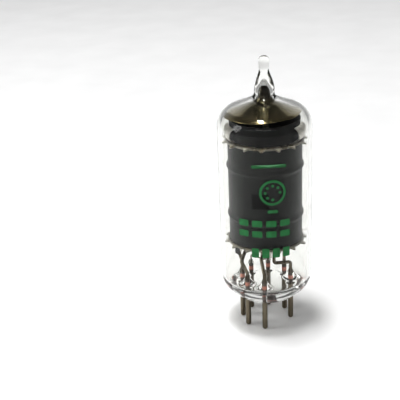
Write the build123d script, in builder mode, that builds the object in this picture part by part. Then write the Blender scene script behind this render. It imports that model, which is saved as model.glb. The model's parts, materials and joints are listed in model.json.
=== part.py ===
from build123d import *
import math
import os

# Seven-pin miniature pentode, standing on its pins.
# The origin is on the tube's axis at the pin tips, +Z is up, and pin 7 is on -Y.
# All sizes are in millimetres.

# Pins and seat
PIN_RADIUS = 0.508
PIN_CIRCLE_RADIUS = 4.7625
PIN_STEP = 45
PIN_COUNT = 7
PIN_TIP_ROUNDING = 0.42
SEAT_Z = 6.35
FIT_GAP = 0.01
RECESS_DEPTH = 0.1

# Glass envelope
BULB_RADIUS = 8.8
GLASS_WALL = 0.8
FOOT_RADIUS = 5.9
HEEL_RADIUS = 7.5
HEEL_Z = 7.8
HEEL_ARC_RADIUS = 4.0
SHOULDER_Z = 40.6
SHOULDER_RADIUS = 4.0
SHOULDER_TURN = 65
CROWN_RADIUS = 2.4
CROWN_Z = 46.0
TIP_RADIUS = 1.85
TIP_NECK_RADIUS = 0.93
TIP_BULB_RADIUS = 1.0
BORE_RADIUS = 0.8
BORE_TOP_Z = 49.4
OVERALL_HEIGHT = 53.7

# Stem
STEM_CORE_RADIUS = 6.6
STEM_TOP_Z = 9.2
SEAL_RADIUS = 0.33
SEAL_TOP_Z = 10.1
FILLET_TOP_Z = 11.2
FILLET_TOP_RADIUS = 0.5
FILLET_FOOT_RADIUS = 1.55

# Micas
MICA_THICKNESS = 0.3
MICA_RADIUS = 7.35
MICA_BEND_RADIUS = 7.0
MICA_TOOTH_RADIUS = 7.93
MICA_TOOTH_DROP = 0.35
MICA_TEETH = 16
TOOTH_ROOT_ANGLE = 4.6
TOOTH_TIP_ANGLE = 0.8
LOWER_MICA_Z = 18.3
UPPER_MICA_Z = 38.4
HOLE_GAP = 0.05
SLOT_WIDTH = 0.24

# Outer shield
SHIELD_RADIUS = 6.95
SHEET = 0.15
BEAD_HEIGHT = 1.65
BEAD_RISE = 0.3
BEAD_CENTRES = (23.8, 33.5)
WINDOW_SIZE = 3.0
WINDOW_Z = 28.2
WINDOW_AZIMUTH = -3.5
EAR_WIDTH = 1.2
EAR_LENGTH = 2.1
UPPER_EAR_LENGTH = 1.1
SEAM_STRIP_WIDTH = 2.4

# Electrode stack: side rods stand on the X axis on both sides of the cathode
LEAD_RADIUS = 0.33
LEAD_BEND = 0.4
ROD_RADIUS = 0.25
ROD_BOTTOM_Z = 16.9
ROD_TOP_Z = 39.9
GRID_WIRE_RADIUS = 0.06
GRID_BOTTOM_Z = 20.6
GRID_TOP_Z = 36.6
CONTROL_TURNS = 20
SCREEN_TURNS = 16
SUPPRESSOR_TURNS = 12
CONTROL_ROD_X = 1.55
CONTROL_DEPTH = 0.95
SCREEN_ROD_X = 2.6
SCREEN_DEPTH = 1.5
SUPPRESSOR_ROD_X = 3.7
SUPPRESSOR_DEPTH = 2.05
ROD_COLLAR_WIDTH = 0.18
ROD_COLLAR_HEIGHT = 0.35
CATHODE_RADIUS = 0.65
CATHODE_WALL = 0.1
CATHODE_BOTTOM_Z = 17.0
CATHODE_TOP_Z = 39.6
COATING = 0.07
HEATER_RADIUS = 0.14
HEATER_SPREAD = 0.28
HEATER_BOTTOM_Z = 14.6
HEATER_TOP_Z = 38.2
ANODE_LENGTH = 9.4
ANODE_WIDTH = 5.2
ANODE_CORNER = 1.8
ANODE_BOTTOM_Z = 20.0
ANODE_TOP_Z = 37.2
ANODE_WING = 1.0
ANODE_TAB_WIDTH = 0.9
RIBBON_Z = 16.4
RIBBON_WIDTH = 1.1
RIBBON_RISE = 1.5
LINK_Z = 17.3
LINK_HEIGHT = 0.6

# Collar and saddles on the upper mica
COLLAR_RADIUS = 6.5
COLLAR_HEIGHT = 3.5
SADDLE_HEIGHT = 2.5
SADDLE_BULGE = 0.95
SADDLE_TURN = 36

# Getter
GETTER_RING_RADIUS = 2.9
GETTER_SECTION = 0.8
GETTER_WALL = 0.12
GETTER_HEIGHT = 0.6
GETTER_Z = 42.0
CHARGE_DEPTH = 0.25
SUPPORT_WIDTH = 1.2
SUPPORT_FOOT = 1.1
FILM_THICKNESS = 0.05
FILM_GAP = 0.01
FILM_EDGE_Z = 43.0
FILM_CROWN_LENGTH = 3.6


def on_circle(radius, azimuth, z=0.0):
    """A point at an azimuth in degrees, counted from -Y towards +X."""
    turn = math.radians(azimuth)
    return (radius * math.sin(turn), -radius * math.cos(turn), z)


def pin_azimuth(number):
    """Pins run 1 to 7 from +X round the back to the front, with one place left empty."""
    return 45 + PIN_STEP * number


def over_pin(number, z):
    """A point on a pin's axis at a height."""
    return on_circle(PIN_CIRCLE_RADIUS, pin_azimuth(number), z)


def save(part, name):
    """Label one finished piece and write it as its own file."""
    part.label = name
    export_step(part, f"parts/{name}.step")


def toothed_plate(z, holes, slots):
    """A round mica with bent teeth, holes for rods and slots for flat tabs."""
    root_radius = MICA_RADIUS - 0.05
    rim_radius = MICA_TOOTH_RADIUS + 0.2
    rim_z = z - MICA_TOOTH_DROP
    with BuildPart() as plate:
        with BuildSketch(Plane.XZ):
            with BuildLine():
                Polyline(
                    (0, z), (MICA_BEND_RADIUS, z), (rim_radius, rim_z),
                    (rim_radius, rim_z + MICA_THICKNESS), (MICA_BEND_RADIUS, z + MICA_THICKNESS),
                    (0, z + MICA_THICKNESS), close=True,
                )
            make_face()
        revolve(axis=Axis.Z)
        with BuildSketch(Plane.XY.offset(z - 1)):
            Circle(MICA_RADIUS)
            with BuildLine():
                outline = []
                for tooth in range(MICA_TEETH):
                    middle = tooth * 360 / MICA_TEETH
                    outline.append(on_circle(root_radius, middle - TOOTH_ROOT_ANGLE)[:2])
                    outline.append(on_circle(MICA_TOOTH_RADIUS, middle - TOOTH_TIP_ANGLE)[:2])
                    outline.append(on_circle(MICA_TOOTH_RADIUS, middle + TOOTH_TIP_ANGLE)[:2])
                    outline.append(on_circle(root_radius, middle + TOOTH_ROOT_ANGLE)[:2])
                Polyline(*outline, close=True)
            make_face()
        extrude(amount=2, mode=Mode.INTERSECT)
        for x, radius in holes:
            with BuildSketch(Plane.XY.offset(z - 1)):
                with Locations((x, 0)):
                    Circle(radius + HOLE_GAP)
            extrude(amount=2, mode=Mode.SUBTRACT)
        for centre, angle, length, width in slots:
            with BuildSketch(Plane.XY.offset(z - 1)):
                with Locations(Location((centre[0], centre[1], 0), (0, 0, angle))):
                    Rectangle(length + 2 * HOLE_GAP, width + 2 * HOLE_GAP)
            extrude(amount=2, mode=Mode.SUBTRACT)
    return plate.part


def wire(points, radius, bends):
    """A round wire along straight runs joined by tangent arcs."""
    with BuildPart() as bent:
        with BuildLine() as path:
            FilletPolyline(*points, radius=bends)
        with BuildSketch(Plane(path.line @ 0, z_dir=path.line % 0)):
            Circle(radius)
        sweep()
    return bent.part


def grid(rod_x, depth, turns):
    """Two side rods with flat oval turns of fine wire round them."""
    reach = rod_x + ROD_RADIUS * 0.6
    pitch = (GRID_TOP_Z - GRID_BOTTOM_Z) / (turns - 1)
    with BuildPart() as wound:
        with BuildSketch(Plane.XY.offset(ROD_BOTTOM_Z)):
            with Locations((-rod_x, 0), (rod_x, 0)):
                Circle(ROD_RADIUS)
        extrude(amount=ROD_TOP_Z - ROD_BOTTOM_Z)
        for turn in range(turns):
            z = GRID_BOTTOM_Z + turn * pitch
            with BuildLine() as loop:
                FilletPolyline(
                    (-reach, -depth, z), (reach, -depth, z), (reach, depth, z), (-reach, depth, z),
                    radius=0.9 * depth, close=True,
                )
            with BuildSketch(Plane(loop.line @ 0, x_dir=(0, 0, 1), z_dir=loop.line % 0)):
                Circle(GRID_WIRE_RADIUS)
            sweep(path=loop.line)
    return wound.part


# Glass bulb: wall, dome and sealed exhaust tip in one piece of glass
tip_centre_z = OVERALL_HEIGHT - TIP_BULB_RADIUS
tip_outline = [
    (TIP_RADIUS, CROWN_Z + 0.9), (TIP_RADIUS - 0.05, CROWN_Z + 1.7), (1.42, CROWN_Z + 3.3),
    (TIP_NECK_RADIUS, CROWN_Z + 4.9), (TIP_BULB_RADIUS, tip_centre_z),
]
heel_slope = math.atan2(HEEL_Z - SEAT_Z, HEEL_RADIUS - FOOT_RADIUS)
heel_centre_z = HEEL_Z + HEEL_ARC_RADIUS * math.cos(heel_slope)
heel_middle = (math.pi / 2 - heel_slope) / 2
inner_radius = BULB_RADIUS - GLASS_WALL
inner_shoulder = SHOULDER_RADIUS - GLASS_WALL
well_radius = STEM_CORE_RADIUS + 0.05
well_fillet = inner_radius - well_radius
shoulder_centre = (BULB_RADIUS - SHOULDER_RADIUS, SHOULDER_Z)

with BuildPart() as glass_bulb:
    with BuildSketch(Plane.XZ):
        with BuildLine():
            heel = ThreePointArc(
                (HEEL_RADIUS, HEEL_Z),
                (BULB_RADIUS - HEEL_ARC_RADIUS * (1 - math.cos(heel_middle)),
                 heel_centre_z - HEEL_ARC_RADIUS * math.sin(heel_middle)),
                (BULB_RADIUS, heel_centre_z),
            )
            Line(heel @ 1, (BULB_RADIUS, SHOULDER_Z))
            shoulder = CenterArc(shoulder_centre, SHOULDER_RADIUS, 0, SHOULDER_TURN)
            crown = Line(shoulder @ 1, (CROWN_RADIUS, CROWN_Z))
            Spline(crown @ 1, *tip_outline, tangents=[crown % 1, (0, 1)])
            CenterArc((0, tip_centre_z), TIP_BULB_RADIUS, 0, 90)
            Line((0, OVERALL_HEIGHT), (0, BORE_TOP_Z))
            bore = Spline(
                (0, BORE_TOP_Z), (BORE_RADIUS / 2, BORE_TOP_Z - 0.4), (BORE_RADIUS, CROWN_Z + 1.2),
                (BORE_RADIUS + 0.1, CROWN_Z + 0.2), tangents=[(1, 0), (0, -1)],
            )
            inner_arc = CenterArc(shoulder_centre, inner_shoulder, SHOULDER_TURN, -SHOULDER_TURN)
            Line(bore @ 1, inner_arc @ 0)
            Line(inner_arc @ 1, (inner_radius, STEM_TOP_Z + well_fillet))
            well = CenterArc((well_radius, STEM_TOP_Z + well_fillet), well_fillet, 0, -90)
            Polyline(well @ 1, (well_radius, HEEL_Z), (HEEL_RADIUS, HEEL_Z))
        make_face()
    revolve(axis=Axis.Z)
save(glass_bulb.part, "glass_bulb")

# Button stem: pressed glass base with a raised fillet round each wire and a recess over each pin
with BuildPart() as button_stem:
    with BuildSketch(Plane.XZ):
        with BuildLine():
            Polyline(
                (0, SEAT_Z), (FOOT_RADIUS, SEAT_Z), (HEEL_RADIUS, HEEL_Z),
                (STEM_CORE_RADIUS, HEEL_Z), (STEM_CORE_RADIUS, STEM_TOP_Z), (0, STEM_TOP_Z),
                close=True,
            )
        make_face()
    revolve(axis=Axis.Z)
    for number in range(1, PIN_COUNT + 1):
        spot = over_pin(number, STEM_TOP_Z)
        with BuildSketch(Plane(spot)):
            Circle(FILLET_FOOT_RADIUS)
        with BuildSketch(Plane(spot).offset(FILLET_TOP_Z - STEM_TOP_Z)):
            Circle(FILLET_TOP_RADIUS)
        loft()
    for number in range(1, PIN_COUNT + 1):
        for hole_radius, hole_depth in (
            (SEAL_RADIUS, FILLET_TOP_Z - SEAT_Z), (PIN_RADIUS, RECESS_DEPTH)
        ):
            with BuildSketch(Plane(over_pin(number, SEAT_Z))):
                Circle(hole_radius + FIT_GAP)
            extrude(amount=hole_depth, mode=Mode.SUBTRACT)
save(button_stem.part, "button_stem")

# Seven contact pins with rounded tips
for number in range(1, PIN_COUNT + 1):
    with BuildPart() as pin:
        with BuildSketch(Plane(over_pin(number, 0))):
            Circle(PIN_RADIUS)
        extrude(amount=SEAT_Z)
        fillet(pin.edges().filter_by(GeomType.CIRCLE).sort_by(Axis.Z)[0], PIN_TIP_ROUNDING)
    save(pin.part, f"pin_{number}")

# Glass-sealing wires, butt-welded on the pins
with BuildPart() as seal_wires:
    for number in range(1, PIN_COUNT + 1):
        with BuildSketch(Plane(over_pin(number, SEAT_Z))):
            Circle(SEAL_RADIUS)
    extrude(amount=SEAL_TOP_Z - SEAT_Z)
save(seal_wires.part, "seal_wires")

# Micas: both have the same rod holes, and slots where shield ears and anode tabs pass
lower_ears = (135, 225, 315)
upper_ears = (135, 225)
ear_radius = SHIELD_RADIUS - SHEET / 2
anode_tab_x = ANODE_LENGTH / 2 + ANODE_WING * 0.55
rod_holes = []
for side in (-1, 1):
    for rod_x in (CONTROL_ROD_X, SCREEN_ROD_X, SUPPRESSOR_ROD_X):
        rod_holes.append((side * rod_x, ROD_RADIUS))
rod_holes.append((0, CATHODE_RADIUS))
for azimuths, z, name in (
    (lower_ears, LOWER_MICA_Z, "lower_mica"), (upper_ears, UPPER_MICA_Z, "upper_mica")
):
    flat_slots = []
    for azimuth in azimuths:
        flat_slots.append((on_circle(ear_radius, azimuth), azimuth, EAR_WIDTH, SLOT_WIDTH))
    for side in (-1, 1):
        flat_slots.append(((side * anode_tab_x, 0), 0, ANODE_TAB_WIDTH, 2 * SHEET))
    save(toothed_plate(z, rod_holes, flat_slots), name)

# Outer shield: rolled sheet with two beads, a window and ears through both micas
shield_bottom = LOWER_MICA_Z + MICA_THICKNESS
shield_inner = SHIELD_RADIUS - SHEET


def bead(radius, centre):
    """Half of a bead's outline on the sheet's face at a radius."""
    half = BEAD_HEIGHT / 2
    return Spline(
        (radius, centre - half), (radius + BEAD_RISE / 2, centre - half / 2),
        (radius + BEAD_RISE, centre), (radius + BEAD_RISE / 2, centre + half / 2),
        (radius, centre + half), tangents=[(0, 1), (0, 1)],
    )


with BuildPart() as outer_shield:
    with BuildSketch(Plane.XZ):
        with BuildLine():
            for radius in (SHIELD_RADIUS, shield_inner):
                lower = bead(radius, BEAD_CENTRES[0])
                upper = bead(radius, BEAD_CENTRES[1])
                Line((radius, shield_bottom), lower @ 0)
                Line(lower @ 1, upper @ 0)
                Line(upper @ 1, (radius, UPPER_MICA_Z))
            Line((SHIELD_RADIUS, shield_bottom), (shield_inner, shield_bottom))
            Line((SHIELD_RADIUS, UPPER_MICA_Z), (shield_inner, UPPER_MICA_Z))
        make_face()
    revolve(axis=Axis.Z)
    window_centre = on_circle(SHIELD_RADIUS, WINDOW_AZIMUTH, WINDOW_Z)
    with BuildSketch(Plane(window_centre, x_dir=(0, 0, 1), z_dir=on_circle(1, WINDOW_AZIMUTH))):
        Rectangle(WINDOW_SIZE, WINDOW_SIZE)
    extrude(amount=2, both=True, mode=Mode.SUBTRACT)
    for azimuths, base_z, length in (
        (lower_ears, shield_bottom, -EAR_LENGTH), (upper_ears, UPPER_MICA_Z, UPPER_EAR_LENGTH)
    ):
        for azimuth in azimuths:
            middle = on_circle(ear_radius, azimuth, base_z)
            with BuildSketch(Plane(middle, x_dir=on_circle(1, azimuth + 90))):
                Rectangle(EAR_WIDTH, SHEET)
            extrude(amount=length)
save(outer_shield.part, "outer_shield")

# Strip welded over the shield's butt joint at the back
with BuildPart() as shield_seam_strip:
    with BuildSketch(Plane.XY.offset(BEAD_CENTRES[0] + BEAD_HEIGHT)):
        Circle(SHIELD_RADIUS + FIT_GAP + SHEET)
        Circle(SHIELD_RADIUS + FIT_GAP, mode=Mode.SUBTRACT)
        with Locations((0, SHIELD_RADIUS)):
            Rectangle(SEAM_STRIP_WIDTH, 2, mode=Mode.INTERSECT)
    extrude(amount=BEAD_CENTRES[1] - BEAD_CENTRES[0] - 2 * BEAD_HEIGHT)
save(shield_seam_strip.part, "shield_seam_strip")

# Anode: two pressed half shells meeting at their wings
for side, name in ((-1, "anode_front"), (1, "anode_back")):
    with BuildPart() as anode_half:
        with BuildSketch(Plane.XY.offset(ANODE_BOTTOM_Z)):
            RectangleRounded(ANODE_LENGTH, ANODE_WIDTH, ANODE_CORNER)
            RectangleRounded(
                ANODE_LENGTH - 2 * SHEET, ANODE_WIDTH - 2 * SHEET, ANODE_CORNER - SHEET,
                mode=Mode.SUBTRACT,
            )
            for end in (-1, 1):
                with Locations((end * (ANODE_LENGTH + ANODE_WING - SHEET) / 2, 0)):
                    Rectangle(ANODE_WING + SHEET, 2 * SHEET)
            with Locations((0, side * ANODE_WIDTH / 2)):
                Rectangle(2 * ANODE_LENGTH, ANODE_WIDTH, mode=Mode.INTERSECT)
        extrude(amount=ANODE_TOP_Z - ANODE_BOTTOM_Z)
        if side < 0:
            for end in (-1, 1):
                with BuildSketch(Plane.XY.offset(ROD_BOTTOM_Z)):
                    with Locations((end * anode_tab_x, -SHEET / 2)):
                        Rectangle(ANODE_TAB_WIDTH, SHEET)
                extrude(amount=ROD_TOP_Z - ROD_BOTTOM_Z)
    save(anode_half.part, name)

# Grids, from the cathode outwards
save(grid(CONTROL_ROD_X, CONTROL_DEPTH, CONTROL_TURNS), "control_grid")
save(grid(SCREEN_ROD_X, SCREEN_DEPTH, SCREEN_TURNS), "screen_grid")
save(grid(SUPPRESSOR_ROD_X, SUPPRESSOR_DEPTH, SUPPRESSOR_TURNS), "suppressor_grid")

# Cathode sleeve, its oxide coating and the folded heater inside it
with BuildPart() as cathode_sleeve:
    with BuildSketch(Plane.XY.offset(CATHODE_BOTTOM_Z)):
        Circle(CATHODE_RADIUS)
        Circle(CATHODE_RADIUS - CATHODE_WALL, mode=Mode.SUBTRACT)
    extrude(amount=CATHODE_TOP_Z - CATHODE_BOTTOM_Z)
save(cathode_sleeve.part, "cathode_sleeve")

with BuildPart() as cathode_coating:
    with BuildSketch(Plane.XY.offset(GRID_BOTTOM_Z)):
        Circle(CATHODE_RADIUS + FIT_GAP + COATING)
        Circle(CATHODE_RADIUS + FIT_GAP, mode=Mode.SUBTRACT)
    extrude(amount=GRID_TOP_Z - GRID_BOTTOM_Z)
save(cathode_coating.part, "cathode_coating")

heater = wire(
    [
        (-HEATER_SPREAD, 0, HEATER_BOTTOM_Z), (-HEATER_SPREAD, 0, HEATER_TOP_Z),
        (HEATER_SPREAD, 0, HEATER_TOP_Z), (HEATER_SPREAD, 0, HEATER_BOTTOM_Z),
    ],
    HEATER_RADIUS,
    HEATER_SPREAD * 0.9,
)
save(heater, "heater")

# Inner leads rise from the seal wires and end under the electrodes they feed
lead_routes = {
    1: [over_pin(1, 12.6), (CONTROL_ROD_X, 0, 12.2), (CONTROL_ROD_X, 0, ROD_BOTTOM_Z)],
    2: [over_pin(2, 13.4), (SUPPRESSOR_ROD_X, 0, 15.2), (SUPPRESSOR_ROD_X, 0, ROD_BOTTOM_Z)],
    3: [over_pin(3, 12.6), (HEATER_SPREAD, 0, 13.2), (HEATER_SPREAD, 0, HEATER_BOTTOM_Z)],
    4: [over_pin(4, 12.2), (-HEATER_SPREAD, 0, 12.9), (-HEATER_SPREAD, 0, HEATER_BOTTOM_Z)],
    5: [over_pin(5, 12.6), (-anode_tab_x, -SHEET / 2, 14.2), (-anode_tab_x, -SHEET / 2, ROD_BOTTOM_Z)],
    6: [over_pin(6, 11.6), (-4.4, -3.6, 14.2), (-3.9, -2.2, 15.6), (-SCREEN_ROD_X, 0, 15.9),
        (-SCREEN_ROD_X, 0, ROD_BOTTOM_Z)],
    7: [over_pin(7, 12.0), (-0.7, -3.0, 14.4), (-0.2, -1.2, 15.6), (-0.2, -1.2, RIBBON_Z)],
}
for number, route in lead_routes.items():
    radius = HEATER_RADIUS if number in (3, 4) else LEAD_RADIUS
    save(wire([over_pin(number, SEAL_TOP_Z)] + route, radius, LEAD_BEND), f"lead_{number}")

# Ribbon from the cathode's lead to its sleeve
with BuildPart() as cathode_ribbon:
    for centre_y, depth, height in (
        (-CATHODE_RADIUS - 0.49, 0.94, SHEET), (-CATHODE_RADIUS - 0.1, SHEET, RIBBON_RISE)
    ):
        with BuildSketch(Plane.XY.offset(RIBBON_Z)):
            with Locations((0, centre_y)):
                Rectangle(RIBBON_WIDTH, depth)
        extrude(amount=height)
save(cathode_ribbon.part, "cathode_ribbon")

# Nickel flags welded to the leads: centre, gap to the wire's axis, width, bottom and top
flags = {
    "heater_tab_left": (-0.62, HEATER_RADIUS, 1.0, 13.4, 15.0),
    "heater_tab_right": (0.62, HEATER_RADIUS, 1.0, 13.4, 15.0),
    "control_grid_tab": (CONTROL_ROD_X + 0.2, LEAD_RADIUS, 1.1, 14.6, 16.4),
    "screen_grid_tab": (-SCREEN_ROD_X, LEAD_RADIUS, 1.0, 16.3, 17.6),
    "anode_tab": (-anode_tab_x, LEAD_RADIUS + SHEET / 2, 1.1, 14.9, 17.0),
}
for name, (x, wire_radius, width, bottom, top) in flags.items():
    with BuildPart() as flag:
        with BuildSketch(Plane.XY.offset(bottom)):
            with Locations((x, -wire_radius - SHEET / 2 - FIT_GAP)):
                Rectangle(width, SHEET)
        extrude(amount=top - bottom)
    save(flag.part, name)

# Ribbon that ties the suppressor's left rod to the shield's rear left ear
with BuildPart() as shield_link:
    with BuildSketch(Plane.XY.offset(LINK_Z)):
        with BuildLine():
            Polyline((-SUPPRESSOR_ROD_X, 0.28), (-SUPPRESSOR_ROD_X, 1.6), (-4.7, 4.7))
        trace(line_width=SHEET)
    extrude(amount=LINK_HEIGHT)
save(shield_link.part, "shield_link")

# Collars welded on the side rods above the upper mica stop them from sliding down
mica_top = UPPER_MICA_Z + MICA_THICKNESS
with BuildPart() as rod_collars:
    with BuildSketch(Plane.XY.offset(mica_top + HOLE_GAP)):
        for side in (-1, 1):
            for rod_x in (CONTROL_ROD_X, SCREEN_ROD_X, SUPPRESSOR_ROD_X):
                with Locations((side * rod_x, 0)):
                    Circle(ROD_RADIUS + ROD_COLLAR_WIDTH)
                    Circle(ROD_RADIUS + FIT_GAP, mode=Mode.SUBTRACT)
    extrude(amount=ROD_COLLAR_HEIGHT)
save(rod_collars.part, "rod_collars")

# Dark collar that stands on the upper mica
with BuildPart() as top_collar:
    with BuildSketch(Plane.XY.offset(mica_top)):
        Circle(COLLAR_RADIUS)
        Circle(COLLAR_RADIUS - SHEET, mode=Mode.SUBTRACT)
    extrude(amount=COLLAR_HEIGHT)
save(top_collar.part, "top_collar")

# Bright nickel saddles, bulged outwards, at the collar's left and right
saddle_radius = COLLAR_RADIUS + FIT_GAP + SHEET / 2
for start, name in ((-86, "top_saddle_left"), (56, "top_saddle_right")):
    with BuildPart() as saddle:
        with BuildSketch(Plane.XZ):
            with BuildLine():
                ThreePointArc(
                    (saddle_radius, mica_top + 0.1),
                    (saddle_radius + SADDLE_BULGE, mica_top + SADDLE_HEIGHT / 2),
                    (saddle_radius, mica_top + SADDLE_HEIGHT),
                )
            trace(line_width=SHEET)
        revolve(axis=Axis.Z, revolution_arc=SADDLE_TURN)
    save(saddle.part.rotate(Axis.Z, start - 90), name)

# Getter: channel ring with its charge, on a strip that stands on the upper mica
ring_outer = GETTER_RING_RADIUS + GETTER_SECTION / 2
ring_inner = GETTER_RING_RADIUS - GETTER_SECTION / 2
groove_z = GETTER_Z + GETTER_WALL
with BuildPart() as getter_ring:
    with BuildSketch(Plane.XY.offset(GETTER_Z)):
        Circle(ring_outer)
        Circle(ring_inner, mode=Mode.SUBTRACT)
    extrude(amount=GETTER_HEIGHT)
    with BuildSketch(Plane.XY.offset(groove_z)):
        Circle(ring_outer - GETTER_WALL)
        Circle(ring_inner + GETTER_WALL, mode=Mode.SUBTRACT)
    extrude(amount=GETTER_HEIGHT - GETTER_WALL, mode=Mode.SUBTRACT)
save(getter_ring.part, "getter_ring")

with BuildPart() as getter_charge:
    with BuildSketch(Plane.XY.offset(groove_z)):
        Circle(ring_outer - GETTER_WALL - FIT_GAP)
        Circle(ring_inner + GETTER_WALL + FIT_GAP, mode=Mode.SUBTRACT)
    extrude(amount=CHARGE_DEPTH)
save(getter_charge.part, "getter_charge")

with BuildPart() as getter_support:
    for centre_y, depth, height in (
        (GETTER_RING_RADIUS + 0.1, SHEET, GETTER_Z - mica_top),
        (GETTER_RING_RADIUS + 0.6, SUPPORT_FOOT, SHEET),
    ):
        with BuildSketch(Plane.XY.offset(mica_top)):
            with Locations((0, centre_y)):
                Rectangle(SUPPORT_WIDTH, depth)
        extrude(amount=height)
save(getter_support.part, "getter_support")

# Getter flash: the mirror film on the inside of the dome
film_outer = inner_shoulder - FILM_GAP
film_inner = film_outer - FILM_THICKNESS
film_start = math.degrees(math.asin((FILM_EDGE_Z - SHOULDER_Z) / inner_shoulder))
film_turn = SHOULDER_TURN - film_start
with BuildPart() as getter_flash:
    with BuildSketch(Plane.XZ):
        with BuildLine():
            outer_arc = CenterArc(shoulder_centre, film_outer, film_start, film_turn)
            inner_film_arc = CenterArc(shoulder_centre, film_inner, film_start, film_turn)
            outer_end = outer_arc @ 1 + outer_arc % 1 * FILM_CROWN_LENGTH
            inner_end = inner_film_arc @ 1 + outer_arc % 1 * FILM_CROWN_LENGTH
            Line(outer_arc @ 0, inner_film_arc @ 0)
            Line(outer_arc @ 1, outer_end)
            Line(inner_film_arc @ 1, inner_end)
            Line(outer_end, inner_end)
        make_face()
    revolve(axis=Axis.Z)
save(getter_flash.part, "getter_flash")
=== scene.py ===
import json
import math

import bmesh
import bpy
from mathutils import Matrix, Vector, noise

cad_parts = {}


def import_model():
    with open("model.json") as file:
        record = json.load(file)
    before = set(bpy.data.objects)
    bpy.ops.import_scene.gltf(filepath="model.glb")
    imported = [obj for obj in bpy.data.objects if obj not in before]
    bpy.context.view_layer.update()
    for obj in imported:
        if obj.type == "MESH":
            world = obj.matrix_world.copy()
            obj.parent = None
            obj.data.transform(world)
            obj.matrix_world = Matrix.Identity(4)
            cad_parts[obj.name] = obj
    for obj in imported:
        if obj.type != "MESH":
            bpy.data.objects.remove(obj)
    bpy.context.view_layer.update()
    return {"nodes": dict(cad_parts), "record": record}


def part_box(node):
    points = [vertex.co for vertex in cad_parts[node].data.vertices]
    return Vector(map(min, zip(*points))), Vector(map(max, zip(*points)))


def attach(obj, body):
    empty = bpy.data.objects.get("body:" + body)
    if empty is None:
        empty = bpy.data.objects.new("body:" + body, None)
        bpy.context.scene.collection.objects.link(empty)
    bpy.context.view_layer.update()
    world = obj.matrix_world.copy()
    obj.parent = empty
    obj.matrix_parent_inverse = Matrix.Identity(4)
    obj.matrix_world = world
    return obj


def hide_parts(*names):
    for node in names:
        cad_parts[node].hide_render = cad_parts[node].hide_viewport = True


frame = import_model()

MM = 0.001

# ---------------------------------------------------------------------------
# Sizes in millimetres and angles in degrees, from the frame where it has them
# ---------------------------------------------------------------------------
_, bulb_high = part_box("glass_bulb")
stem_low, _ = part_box("button_stem")
seal_low, seal_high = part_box("seal_wires")
film_low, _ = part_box("getter_flash")

BULB_RADIUS = bulb_high.x / MM
TOP_Z = bulb_high.z / MM
SEAT_Z = stem_low.z / MM
WALL = 0.8
INNER_RADIUS = BULB_RADIUS - WALL

# Underside of the stem, and the heel that turns up into the bulb's side
FOOT_RADIUS = 5.9
FOOT_ROUNDING = [(-0.2, 0.0), (0.05, 0.05), (0.3, 0.22)]
HEEL_RADIUS = 7.5
HEEL_Z = 7.8
HEEL_ARC = 4.0

# Dome: a shoulder arc, then a cone up to the crown
SHOULDER_Z = 40.6
SHOULDER_ARC = 4.0
SHOULDER_TURN = 65
SHOULDER_CENTRE = BULB_RADIUS - SHOULDER_ARC
CROWN_Z = 46.0
CROWN_EDGE = (2.9, -0.25)

# Exhaust tip, as (radius, height above the crown) and (radius, height from its end)
TIP_SIDE = [(2.1, 0.25), (1.85, 0.9), (1.8, 1.7), (1.42, 3.3), (0.93, 4.9), (0.92, 5.6)]
TIP_END = [(1.0, -1.0), (0.86, -0.42), (0.5, -0.12), (0.0, 0.0)]
BORE_TOP_Z = 49.4
BORE_END = [(0, 0), (0.35, -0.35), (0.7, -1.1)]
BORE_SIDE = [(1.05, 1.5), (1.22, 0.6), (1.35, 0.0), (1.75, -0.68)]

# The tip is a little fuller on its right
TIP_BULGE = 0.14
TIP_BULGE_Z = 48.6
TIP_BULGE_SPREAD = 1.3
TIP_RADIUS = 1.6

# Inner floor of the stem, with a fillet round each sealing wire
FLOOR_Z = 9.2
WELL_RADIUS = 6.65
SEAL_RADIUS = 0.33
FILLET_RISE = 2.0
FILLET_REACH = 1.45
FILLET_POWER = 1.9

# Pins, and the glass rims round them under the stem
PIN_CIRCLE = 4.7625
PIN_AZIMUTHS = [90, 135, 180, 225, 270, 315, 0]
RIM_RADIUS = 0.5
RIM_DROP = 0.28
RIM_SPREAD = 0.22

# Getter film: its gap to the glass and its uneven lower edge
FILM_GAP = 0.04
FILM_THICKNESS = 0.05
FILM_FADE = 3.0
FILM_NECK = [(1.85, -0.82), (1.27, 0.02), (1.14, 0.7), (0.97, 1.5), (0.7, 2.05)]
EDGE_TILT = 8
EDGE_WAVE = 5
EDGE_WAVE_SCALE = 1.9

# Ink on the glass: u runs round the bulb from the front
INK_LOW = BULB_RADIUS + 0.008
INK_HIGH = BULB_RADIUS + 0.03
DIAGRAM_U = 2.0
DIAGRAM_Z = 30.7
DIAGRAM_RADIUS = 2.45
DIAGRAM_LINE = 0.45
DOT_CIRCLE = 1.35
DOT_RADIUS = 0.27
BAR_CORNER = 0.25
# Rows of bars, as (first u, pitch, count, z, width, height)
BAR_ROWS = [
    (1.35, 0.0, 1, 35.7, 6.3, 0.6),
    (DIAGRAM_U, 0.0, 1, 27.0, 1.9, 0.6),
    (-3.5, 2.6, 4, 24.55, 1.9, 1.25),
    (-3.5, 2.6, 4, 22.45, 1.9, 1.25),
    (-1.3, 1.95, 4, 18.6, 1.35, 1.9),
]

# The mica turns paler between these radii
MICA_RIM = (7.12, 7.4)

# Faces round a surface of revolution, and the usual range of a noise
SEGMENTS = 192
NOISE_LOW, NOISE_HIGH = 0.3, 0.7


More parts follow.
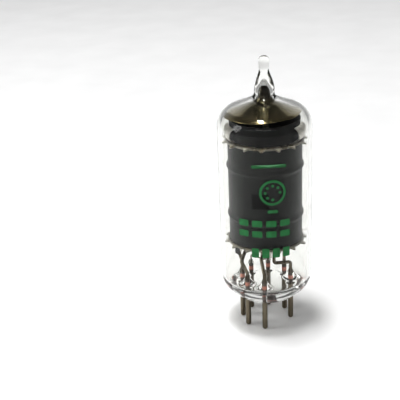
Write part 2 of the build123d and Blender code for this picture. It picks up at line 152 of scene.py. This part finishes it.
# ---------------------------------------------------------------------------
# Node helpers
# ---------------------------------------------------------------------------
def new_material(name, **values):
    """A material with one Principled shader, with plain values on its sockets."""
    material = bpy.data.materials.new(name)
    material.use_nodes = True
    tree = material.node_tree
    tree.nodes.clear()
    output = tree.nodes.new("ShaderNodeOutputMaterial")
    shader = tree.nodes.new("ShaderNodeBsdfPrincipled")
    for socket, value in values.items():
        shader.inputs[socket.replace("_", " ")].default_value = value
    tree.links.new(shader.outputs["BSDF"], output.inputs["Surface"])
    return material, tree, shader


def mapped_place(tree, scale):
    """The surface point in the object's own space, scaled along each axis."""
    place = tree.nodes.new("ShaderNodeTexCoord")
    mapping = tree.nodes.new("ShaderNodeMapping")
    mapping.inputs["Scale"].default_value = scale
    tree.links.new(place.outputs["Object"], mapping.inputs["Vector"])
    return mapping.outputs["Vector"]


def noise_texture(tree, scale, detail, stretch=(1, 1, 1)):
    """The value of a noise that is stretched along each axis."""
    texture = tree.nodes.new("ShaderNodeTexNoise")
    texture.inputs["Scale"].default_value = scale
    texture.inputs["Detail"].default_value = detail
    tree.links.new(mapped_place(tree, stretch), texture.inputs["Vector"])
    return texture.outputs["Fac"]


def map_range(tree, source, low, high):
    """How far a value is from low to high, both in metres, as 0 to 1."""
    node = tree.nodes.new("ShaderNodeMapRange")
    node.inputs["From Min"].default_value = low
    node.inputs["From Max"].default_value = high
    tree.links.new(source, node.inputs["Value"])
    return node.outputs["Result"]


def height_share(tree, low, high):
    """How far a surface point is from a low to a high level, as 0 to 1."""
    place = tree.nodes.new("ShaderNodeTexCoord")
    split = tree.nodes.new("ShaderNodeSeparateXYZ")
    tree.links.new(place.outputs["Object"], split.inputs["Vector"])
    return map_range(tree, split.outputs["Z"], low, high)


def ramp(tree, source, stops):
    """The colour of a ramp fed by a socket. Stops are (position, colour)."""
    node = tree.nodes.new("ShaderNodeValToRGB")
    elements = node.color_ramp.elements
    elements[0].position, elements[0].color = stops[0][0], (*stops[0][1], 1)
    elements[1].position, elements[1].color = stops[-1][0], (*stops[-1][1], 1)
    for position, colour in stops[1:-1]:
        elements.new(position).color = (*colour, 1)
    tree.links.new(source, node.inputs["Fac"])
    return node.outputs["Color"]


def mottle(tree, source, dark, light):
    """A colour that runs from dark to light over the usual range of a noise."""
    return ramp(tree, source, [(NOISE_LOW, dark), (NOISE_HIGH, light)])


def grey(value):
    return (value, value, value)


def bump(tree, shader, height, strength, depth):
    """Bump on a shader from a height socket, with its depth in millimetres."""
    node = tree.nodes.new("ShaderNodeBump")
    node.inputs["Strength"].default_value = strength
    node.inputs["Distance"].default_value = depth * MM
    tree.links.new(height, node.inputs["Height"])
    tree.links.new(node.outputs["Normal"], shader.inputs["Normal"])


def let_lamps_through(tree, shader, tint):
    """Glass lets the light of lamps through, a little dimmed, to what it holds."""
    clear = tree.nodes.new("ShaderNodeBsdfTransparent")
    clear.inputs["Color"].default_value = (*tint, 1)
    path = tree.nodes.new("ShaderNodeLightPath")
    mix = tree.nodes.new("ShaderNodeMixShader")
    output = shader.outputs["BSDF"].links[0].to_node
    tree.links.new(path.outputs["Is Shadow Ray"], mix.inputs["Fac"])
    tree.links.new(shader.outputs["BSDF"], mix.inputs[1])
    tree.links.new(clear.outputs["BSDF"], mix.inputs[2])
    tree.links.new(mix.outputs["Shader"], output.inputs["Surface"])


# ---------------------------------------------------------------------------
# Materials
# ---------------------------------------------------------------------------
def metal(name, dark, light, rough, metallic=1.0, stretch=(1, 1, 1), scale=900, bumps=0.3,
          shine=0.5):
    """Bare or coated metal. Colour and roughness, as (low, high), vary with a noise."""
    material, tree, shader = new_material(name, Metallic=metallic, Specular_IOR_Level=shine)
    grain = noise_texture(tree, scale, 6, stretch)
    colour = mottle(tree, grain, dark, light)
    gloss = mottle(tree, grain, grey(rough[0]), grey(rough[1]))
    tree.links.new(colour, shader.inputs["Base Color"])
    tree.links.new(gloss, shader.inputs["Roughness"])
    bump(tree, shader, grain, bumps, 0.02)
    return material


def paint(name, dark, light, rough, scale, detail, bumps=0.0):
    """A matt coat or surface with a mottled colour."""
    material, tree, shader = new_material(name, Roughness=rough)
    cloud = noise_texture(tree, scale, detail)
    tree.links.new(mottle(tree, cloud, dark, light), shader.inputs["Base Color"])
    if bumps:
        bump(tree, shader, cloud, bumps, 0.03)
    return material


def glass_material():
    """Clear bulb glass with faint drawn waves."""
    material, tree, shader = new_material(
        "bulb_glass", Base_Color=(0.945, 0.95, 0.93, 1), Specular_Tint=(0.25, 0.25, 0.25, 1),
        Roughness=0.0, IOR=1.49, Transmission_Weight=1.0,
    )
    bump(tree, shader, noise_texture(tree, 160, 2, stretch=(1, 1, 0.25)), 0.12, 0.2)
    let_lamps_through(tree, shader, tint=(0.72, 0.72, 0.71))
    return material


def mica_material():
    """Split mica: dark amber and half clear, paler and flaked at its rim and teeth."""
    material, tree, shader = new_material("mica_sheet", IOR=1.58, Transmission_Weight=0.5)
    cloud = noise_texture(tree, 350, 6)
    reach = tree.nodes.new("ShaderNodeVectorMath")
    reach.operation = "LENGTH"
    tree.links.new(mapped_place(tree, (1, 1, 0)), reach.inputs[0])
    rim = map_range(tree, reach.outputs["Value"], MICA_RIM[0] * MM, MICA_RIM[1] * MM)
    body = mottle(tree, cloud, (0.035, 0.026, 0.014), (0.09, 0.07, 0.045))
    edge = mottle(tree, cloud, (0.24, 0.20, 0.13), (0.62, 0.60, 0.52))
    mix = tree.nodes.new("ShaderNodeMix")
    mix.data_type = "RGBA"
    tree.links.new(rim, mix.inputs["Factor"])
    tree.links.new(body, mix.inputs["A"])
    tree.links.new(edge, mix.inputs["B"])
    tree.links.new(mix.outputs["Result"], shader.inputs["Base Color"])
    tree.links.new(mottle(tree, cloud, grey(0.18), grey(0.5)), shader.inputs["Roughness"])
    bump(tree, shader, cloud, 0.4, 0.05)
    return material


def film_material():
    """Barium mirror, pale olive at its lower edge and nearly black above it."""
    material, tree, shader = new_material("getter_film", Metallic=1.0, Roughness=0.12)
    level = height_share(tree, film_low.z, film_low.z + FILM_FADE * MM)
    colour = ramp(
        tree, level,
        [(0.0, (0.30, 0.25, 0.14)), (0.5, (0.16, 0.14, 0.08)), (1.0, (0.04, 0.035, 0.025))],
    )
    tree.links.new(colour, shader.inputs["Base Color"])
    bump(tree, shader, noise_texture(tree, 300, 4), 0.15, 0.1)
    return material


def seal_material():
    """Copper-sheathed wire, reddish in a band and oxidised grey above and below it."""
    material, tree, shader = new_material("seal_copper", Metallic=0.6, Roughness=0.45)
    red = (0.60, 0.26, 0.20)
    colour = ramp(
        tree, height_share(tree, seal_low.z, seal_high.z),
        [(0.0, (0.10, 0.09, 0.08)), (0.6, (0.11, 0.08, 0.07)), (0.7, red),
         (0.86, red), (0.93, (0.15, 0.13, 0.11)), (1.0, (0.12, 0.11, 0.09))],
    )
    tree.links.new(colour, shader.inputs["Base Color"])
    bump(tree, shader, noise_texture(tree, 1500, 5), 0.5, 0.03)
    return material


DRAWN = {"stretch": (1, 1, 0.04), "scale": 2500}
MATERIALS = {
    "glass": glass_material(),
    "pin_metal": metal(
        "pin_metal", (0.10, 0.085, 0.06), (0.24, 0.21, 0.16), rough=(0.3, 0.5), **DRAWN
    ),
    "seal_copper": seal_material(),
    "mica": mica_material(),
    "shield_grey": metal(
        "shield_grey", (0.014, 0.0155, 0.0155), (0.024, 0.026, 0.025), rough=(0.40, 0.48),
        metallic=0.0, stretch=(1, 1, 0.15), scale=1500, bumps=0.015, shine=0.22,
    ),
    "anode_black": metal(
        "anode_black", grey(0.006), grey(0.014), rough=(0.5, 0.7), metallic=0.0, shine=0.2
    ),
    "grid_nickel": metal(
        "grid_nickel", (0.42, 0.40, 0.37), (0.60, 0.58, 0.54), rough=(0.2, 0.35), **DRAWN
    ),
    "cathode_nickel": metal(
        "cathode_nickel", (0.45, 0.43, 0.40), (0.62, 0.60, 0.56), rough=(0.2, 0.35), **DRAWN
    ),
    "oxide_white": paint(
        "oxide_coat", (0.68, 0.66, 0.62), (0.86, 0.85, 0.82), rough=0.85, scale=2500, detail=5,
        bumps=0.6,
    ),
    "nickel": metal(
        "nickel", (0.50, 0.48, 0.44), (0.74, 0.72, 0.68), rough=(0.28, 0.42),
        stretch=DRAWN["stretch"], scale=1800,
    ),
    "getter_charge": metal(
        "getter_charge", grey(0.05), (0.16, 0.15, 0.14), rough=(0.5, 0.8), metallic=0.6
    ),
    "getter_mirror": film_material(),
    "stamp_ink": paint(
        "stamp_ink", (0.004, 0.12, 0.026), (0.012, 0.20, 0.05), rough=0.55, scale=900, detail=5,
        bumps=0.3,
    ),
}


# ---------------------------------------------------------------------------
# Mesh helpers
# ---------------------------------------------------------------------------
def above(level, points):
    """Profile points from (radius, height above a level)."""
    return [(radius, level + height) for radius, height in points]


def arc(centre_x, centre_z, radius, start, end, steps):
    """Points of an arc in a profile, angles in degrees from the outward direction."""
    points = []
    for i in range(steps + 1):
        turn = math.radians(start + (end - start) * i / steps)
        points.append((centre_x + radius * math.cos(turn), centre_z + radius * math.sin(turn)))
    return points


def straight(start, end, steps):
    """Evenly spaced points between two profile points, without the first."""
    points = []
    for i in range(1, steps + 1):
        share = i / steps
        x = start[0] + (end[0] - start[0]) * share
        points.append((x, start[1] + (end[1] - start[1]) * share))
    return points


def smooth_through(points, steps):
    """A Catmull-Rom curve through profile points, without the first."""
    padded = [points[0]] + list(points) + [points[-1]]
    curve = []
    for i in range(1, len(padded) - 2):
        p0, p1, p2, p3 = (Vector(padded[i + k]) for k in (-1, 0, 1, 2))
        for j in range(1, steps + 1):
            t = j / steps
            point = 0.5 * (
                2 * p1 + (p2 - p0) * t + (2 * p0 - 5 * p1 + 4 * p2 - p3) * t * t
                + (3 * p1 - p0 - 3 * p2 + p3) * t ** 3
            )
            curve.append((max(point.x, 0.0), point.y))
    return curve


def revolve(mesh, profile, place):
    """Adds a surface of revolution, with each point moved by place.

    A profile point on the axis becomes a pole.
    """
    rings = []
    for radius, z in profile:
        if radius < 1e-6:
            rings.append([mesh.verts.new(place(Vector((0, 0, z))) * MM)])
            continue
        ring = []
        for i in range(SEGMENTS):
            turn = 2 * math.pi * i / SEGMENTS
            point = Vector((radius * math.cos(turn), radius * math.sin(turn), z))
            ring.append(mesh.verts.new(place(point) * MM))
        rings.append(ring)
    for below, upper in zip(rings, rings[1:]):
        for i in range(SEGMENTS):
            j = (i + 1) % SEGMENTS
            if len(below) == 1:
                mesh.faces.new([below[0], upper[j], upper[i]])
            elif len(upper) == 1:
                mesh.faces.new([below[i], below[j], upper[0]])
            else:
                mesh.faces.new([below[i], below[j], upper[j], upper[i]])


def new_object(mesh, name, material, smooth):
    """Turns a bmesh into an object with one material."""
    data = bpy.data.meshes.new(name)
    mesh.to_mesh(data)
    mesh.free()
    data.polygons.foreach_set("use_smooth", [smooth] * len(data.polygons))
    data.materials.append(material)
    piece = bpy.data.objects.new(name, data)
    bpy.context.collection.objects.link(piece)
    return piece


def finish_piece(mesh, name, slot, replaced=(), smooth=True):
    """Turns a bmesh into a piece that rides on the tube."""
    piece = new_object(mesh, name, MATERIALS[slot], smooth)
    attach(piece, "root")
    if replaced:
        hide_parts(*replaced)


def on_circle(radius, azimuth, z=0.0):
    """A point at an azimuth in degrees, counted from -Y towards +X."""
    turn = math.radians(azimuth)
    return Vector((radius * math.sin(turn), -radius * math.cos(turn), z))


PIN_SPOTS = [on_circle(PIN_CIRCLE, azimuth) for azimuth in PIN_AZIMUTHS]


def nearest_pin(point):
    """Distance on the plan from a point to the nearest pin's axis."""
    return min(math.hypot(point.x - spot.x, point.y - spot.y) for spot in PIN_SPOTS)


# ---------------------------------------------------------------------------
# Glass: one closed piece, as the bulb and the stem are fused
# ---------------------------------------------------------------------------
def shape_outside(point):
    """Glass rims round the pins under the stem, and the fuller side of the tip."""
    if point.z <= SEAT_Z + 0.01:
        reach = max(nearest_pin(point) - RIM_RADIUS, 0)
        rim = RIM_DROP * math.exp(-(reach / RIM_SPREAD) ** 2)
        return Vector((point.x, point.y, point.z - rim))
    if point.z < CROWN_Z:
        return point
    share = math.exp(-((point.z - TIP_BULGE_Z) / TIP_BULGE_SPREAD) ** 2)
    side = max(point.x, 0.0) / TIP_RADIUS
    return Vector((point.x + TIP_BULGE * share * side, point.y, point.z))


def shape_inside(point):
    """The stem's floor rises in a fillet round each wire."""
    if point.z > FLOOR_Z + 0.01:
        return point
    reach = max(nearest_pin(point) - SEAL_RADIUS, 0)
    rise = FILLET_RISE * max(1 - reach / FILLET_REACH, 0) ** FILLET_POWER
    return Vector((point.x, point.y, point.z + rise))


def outside_profile():
    """From the middle of the stem's underside, up the bulb, to the end of the tip."""
    slope = math.degrees(math.atan2(HEEL_Z - SEAT_Z, HEEL_RADIUS - FOOT_RADIUS))
    heel_centre_z = HEEL_Z + HEEL_ARC * math.cos(math.radians(slope))
    foot = [(FOOT_RADIUS + out, SEAT_Z + up) for out, up in FOOT_ROUNDING]
    crown_edge = above(CROWN_Z, [CROWN_EDGE])
    profile = [(0, SEAT_Z)]
    profile += straight(profile[-1], foot[0], steps=40)
    profile += smooth_through(foot, steps=4)
    profile += straight(profile[-1], (HEEL_RADIUS, HEEL_Z), steps=6)
    profile += arc(
        BULB_RADIUS - HEEL_ARC, heel_centre_z, HEEL_ARC, start=slope - 90, end=0, steps=14
    )[1:]
    profile += straight(profile[-1], (BULB_RADIUS, SHOULDER_Z), steps=60)
    profile += arc(
        SHOULDER_CENTRE, SHOULDER_Z, SHOULDER_ARC, start=0, end=SHOULDER_TURN, steps=20
    )[1:]
    profile += straight(profile[-1], crown_edge[0], steps=8)
    profile += smooth_through(
        crown_edge + above(CROWN_Z, TIP_SIDE) + above(TOP_Z, TIP_END), steps=8
    )
    return profile


def inside_profile():
    """From the end of the tip's bore, down the bulb, to the middle of the floor."""
    fillet = INNER_RADIUS - WELL_RADIUS
    shoulder = arc(
        SHOULDER_CENTRE, SHOULDER_Z, SHOULDER_ARC - WALL, start=SHOULDER_TURN, end=0, steps=20
    )
    profile = [(0, BORE_TOP_Z)]
    profile += smooth_through(above(BORE_TOP_Z, BORE_END) + above(CROWN_Z, BORE_SIDE), steps=6)
    profile += straight(profile[-1], shoulder[0], steps=10)
    profile += shoulder[1:]
    profile += straight(profile[-1], (INNER_RADIUS, FLOOR_Z + fillet), steps=60)
    profile += arc(WELL_RADIUS, FLOOR_Z + fillet, fillet, start=0, end=-90, steps=12)[1:]
    profile += straight(profile[-1], (0, FLOOR_Z), steps=60)
    return profile


def glass_envelope():
    """The bulb and its stem, with the tip and the glass round the pins."""
    mesh = bmesh.new()
    revolve(mesh, outside_profile(), place=shape_outside)
    revolve(mesh, inside_profile(), place=shape_inside)
    finish_piece(mesh, "glass_envelope", "glass", ("glass_bulb", "button_stem"))


# ---------------------------------------------------------------------------
# Getter film on the inside of the dome, its edge tilted and uneven
# ---------------------------------------------------------------------------
FILM_ARC = SHOULDER_ARC - WALL
FILM_START = math.degrees(math.asin((film_low.z / MM - SHOULDER_Z) / FILM_ARC))


def shape_film(point):
    """Moves the lower edge along the dome: lower on the left, higher on the right."""
    radius = math.hypot(point.x, point.y)
    out, up = radius - SHOULDER_CENTRE, point.z - SHOULDER_Z
    turn = math.degrees(math.atan2(up, out))
    if turn >= SHOULDER_TURN:
        return point
    side, depth = point.x / radius, point.y / radius
    spot = Vector((side * EDGE_WAVE_SCALE, depth * EDGE_WAVE_SCALE, 3.0))
    edge = FILM_START + EDGE_TILT * side + EDGE_WAVE * noise.noise(spot)
    stretch = (SHOULDER_TURN - edge) / (SHOULDER_TURN - FILM_START)
    turn = math.radians(SHOULDER_TURN - (SHOULDER_TURN - turn) * stretch)
    reach = math.hypot(out, up)
    moved = SHOULDER_CENTRE + reach * math.cos(turn)
    return Vector((side * moved, depth * moved, SHOULDER_Z + reach * math.sin(turn)))


def getter_film():
    """A thin closed shell just inside the dome, from its lower edge up into the tip."""
    neck = above(CROWN_Z, FILM_NECK)
    outer = arc(
        SHOULDER_CENTRE, SHOULDER_Z, FILM_ARC - FILM_GAP, start=FILM_START, end=SHOULDER_TURN,
        steps=14,
    )
    outer += straight(outer[-1], neck[0], steps=8)
    outer += smooth_through(neck, steps=5)
    inner = [(max(r - FILM_THICKNESS, 0.02), z - 0.6 * FILM_THICKNESS) for r, z in outer]
    mesh = bmesh.new()
    revolve(mesh, outer + inner[::-1] + outer[:1], place=shape_film)
    bmesh.ops.remove_doubles(mesh, verts=mesh.verts, dist=1e-7)
    finish_piece(mesh, "getter_film", "getter_mirror", ("getter_flash",))


# ---------------------------------------------------------------------------
# Stamp on the glass: a generic base diagram and plain bars
# ---------------------------------------------------------------------------
def wrap(u, z, radius):
    """A point on the bulb, u millimetres round the glass from the front."""
    return on_circle(radius, math.degrees(u / BULB_RADIUS), z) * MM


def ink_loops(mesh, outline):
    """An outline's loop of corners at the bottom and at the top of the ink."""
    return [
        [mesh.verts.new(wrap(u, z, radius)) for u, z in outline]
        for radius in (INK_LOW, INK_HIGH)
    ]


def band(mesh, first, second):
    """Faces between two loops with the same number of corners."""
    for i in range(len(first)):
        j = (i + 1) % len(first)
        mesh.faces.new((first[i], first[j], second[j], second[i]))


def ink_patch(mesh, outline):
    """A closed patch of ink inside an outline."""
    low, high = ink_loops(mesh, outline)
    band(mesh, low, high)
    u = sum(point[0] for point in outline) / len(outline)
    z = sum(point[1] for point in outline) / len(outline)
    for loop, radius in ((low, INK_LOW), (high, INK_HIGH)):
        centre = mesh.verts.new(wrap(u, z, radius))
        for i in range(len(loop)):
            mesh.faces.new((loop[i], loop[(i + 1) % len(loop)], centre))


def ink_ring(mesh, outline, hole):
    """A closed band of ink between an outline and a hole."""
    low, high = ink_loops(mesh, outline)
    hole_low, hole_high = ink_loops(mesh, hole)
    band(mesh, low, high)
    band(mesh, high, hole_high)
    band(mesh, hole_high, hole_low)
    band(mesh, hole_low, low)


def circle_outline(u, z, radius, steps):
    turns = [2 * math.pi * i / steps for i in range(steps)]
    return [(u + radius * math.cos(turn), z + radius * math.sin(turn)) for turn in turns]


def bar_outline(u, z, width, height):
    """A bar with rounded corners."""
    outline = []
    for side_u, side_z, start in ((1, -1, -90), (1, 1, 0), (-1, 1, 90), (-1, -1, 180)):
        centre_u = u + side_u * (width / 2 - BAR_CORNER)
        centre_z = z + side_z * (height / 2 - BAR_CORNER)
        outline += arc(centre_u, centre_z, BAR_CORNER, start, start + 90, steps=5)
    return outline


def stamp():
    """A ring with seven dots for the base, and rows of plain bars."""
    mesh = bmesh.new()
    ink_ring(
        mesh,
        circle_outline(DIAGRAM_U, DIAGRAM_Z, DIAGRAM_RADIUS, steps=64),
        circle_outline(DIAGRAM_U, DIAGRAM_Z, DIAGRAM_RADIUS - DIAGRAM_LINE, steps=64),
    )
    for azimuth in PIN_AZIMUTHS:
        turn = math.radians(azimuth - 90)
        u = DIAGRAM_U + DOT_CIRCLE * math.cos(turn)
        z = DIAGRAM_Z + DOT_CIRCLE * math.sin(turn)
        ink_patch(mesh, circle_outline(u, z, DOT_RADIUS, steps=20))
    for first_u, pitch, count, z, width, height in BAR_ROWS:
        for i in range(count):
            ink_patch(mesh, bar_outline(first_u + pitch * i, z, width, height))
    bmesh.ops.recalc_face_normals(mesh, faces=mesh.faces)
    finish_piece(mesh, "stamp_print", "stamp_ink", smooth=False)


# ---------------------------------------------------------------------------
# Stage, in metres: table, world, camera and lamps
# ---------------------------------------------------------------------------
TABLE_SIZE = Vector((4, 4, 0.03))
TABLE_ROUNDING = 0.004
CAMERA_PLACE = Vector((12.26, -155.74, 94.08)) * MM
CAMERA_YAW, CAMERA_PITCH, CAMERA_ROLL = -9.08, -23.57, -2.55
CAMERA_LENS = 80.3


def table():
    """A plain pale table top, level with the pin tips."""
    mesh = bmesh.new()
    bmesh.ops.create_cube(mesh, size=1)
    for vert in mesh.verts:
        vert.co = vert.co * TABLE_SIZE - Vector((0, 0, TABLE_SIZE.z / 2))
    bmesh.ops.bevel(
        mesh, geom=mesh.edges[:], offset=TABLE_ROUNDING, segments=3, profile=0.5, affect="EDGES"
    )
    material = paint("table_top", grey(0.86), grey(0.90), rough=0.6, scale=60, detail=4)
    new_object(mesh, "table_top", material, smooth=False)


def world():
    """A dim room, so that the lamps and the pale table do the lighting."""
    room = bpy.data.worlds.new("room")
    bpy.context.scene.world = room
    room.use_nodes = True
    tree = room.node_tree
    tree.nodes.clear()
    place = tree.nodes.new("ShaderNodeTexCoord")
    split = tree.nodes.new("ShaderNodeSeparateXYZ")
    tree.links.new(place.outputs["Generated"], split.inputs["Vector"])
    glow = ramp(
        tree, split.outputs["Z"],
        [(0.0, grey(0.30)), (0.5, grey(0.30)), (0.7, grey(0.12)), (1.0, grey(0.04))],
    )
    background = tree.nodes.new("ShaderNodeBackground")
    background.inputs["Strength"].default_value = 1.1
    tree.links.new(glow, background.inputs["Color"])
    output = tree.nodes.new("ShaderNodeOutputWorld")
    tree.links.new(background.outputs["Background"], output.inputs["Surface"])


def camera():
    """The camera looks down on the tube from the front, a little from its right."""
    yaw, pitch, roll = map(math.radians, (CAMERA_YAW, CAMERA_PITCH, CAMERA_ROLL))
    data = bpy.data.cameras.new("camera")
    data.lens = CAMERA_LENS
    data.sensor_width = 36.0
    data.clip_start = 0.01
    view = bpy.data.objects.new("camera", data)
    forward = Vector(
        (math.sin(yaw) * math.cos(pitch), math.cos(yaw) * math.cos(pitch), math.sin(pitch))
    )
    level = Vector((math.cos(yaw), -math.sin(yaw), 0))
    upright = level.cross(forward)
    right = level * math.cos(roll) + upright * math.sin(roll)
    up = upright * math.cos(roll) - level * math.sin(roll)
    turn = Matrix((right, up, -forward)).transposed()
    view.matrix_world = Matrix.Translation(CAMERA_PLACE) @ turn.to_4x4()
    bpy.context.collection.objects.link(view)
    bpy.context.scene.camera = view


def lamp(name, place, aim, size, watts):
    """A soft rectangular lamp that faces a point."""
    data = bpy.data.lights.new(name, "AREA")
    data.shape = "RECTANGLE"
    data.size, data.size_y = size
    data.energy = watts
    light = bpy.data.objects.new(name, data)
    light.location = place
    light.rotation_euler = (Vector(aim) - Vector(place)).to_track_quat("-Z", "Y").to_euler()
    bpy.context.collection.objects.link(light)


# ---------------------------------------------------------------------------
# The scene
# ---------------------------------------------------------------------------
slots = {entry["node"]: entry["material_slot"] for entry in frame["record"]["subparts"]}
for node, obj in frame["nodes"].items():
    obj.data.materials.clear()
    obj.data.materials.append(MATERIALS[slots[node]])

glass_envelope()
getter_film()
stamp()

table()
world()
camera()
lamp("overhead", place=(-0.05, -0.01, 0.60), aim=(0, 0, 0), size=(0.16, 0.07), watts=2.6)
lamp("back_window", place=(0, 1.30, 0.80), aim=(0, 0.15, 0), size=(1.8, 0.9), watts=2.0)
lamp("left_window", place=(-0.50, -0.16, 0.25), aim=(0, 0, 0.03), size=(0.2, 0.3), watts=1.0)
lamp("front_strip", place=(-0.02, -0.50, 0.42), aim=(0, 0, 0.04), size=(0.9, 0.03), watts=0.4)

scene = bpy.context.scene
scene.view_settings.view_transform = "Standard"
scene.view_settings.look = "Medium High Contrast"
scene.cycles.max_bounces = 24
scene.cycles.transmission_bounces = 20
scene.cycles.transparent_max_bounces = 24
scene.cycles.glossy_bounces = 8
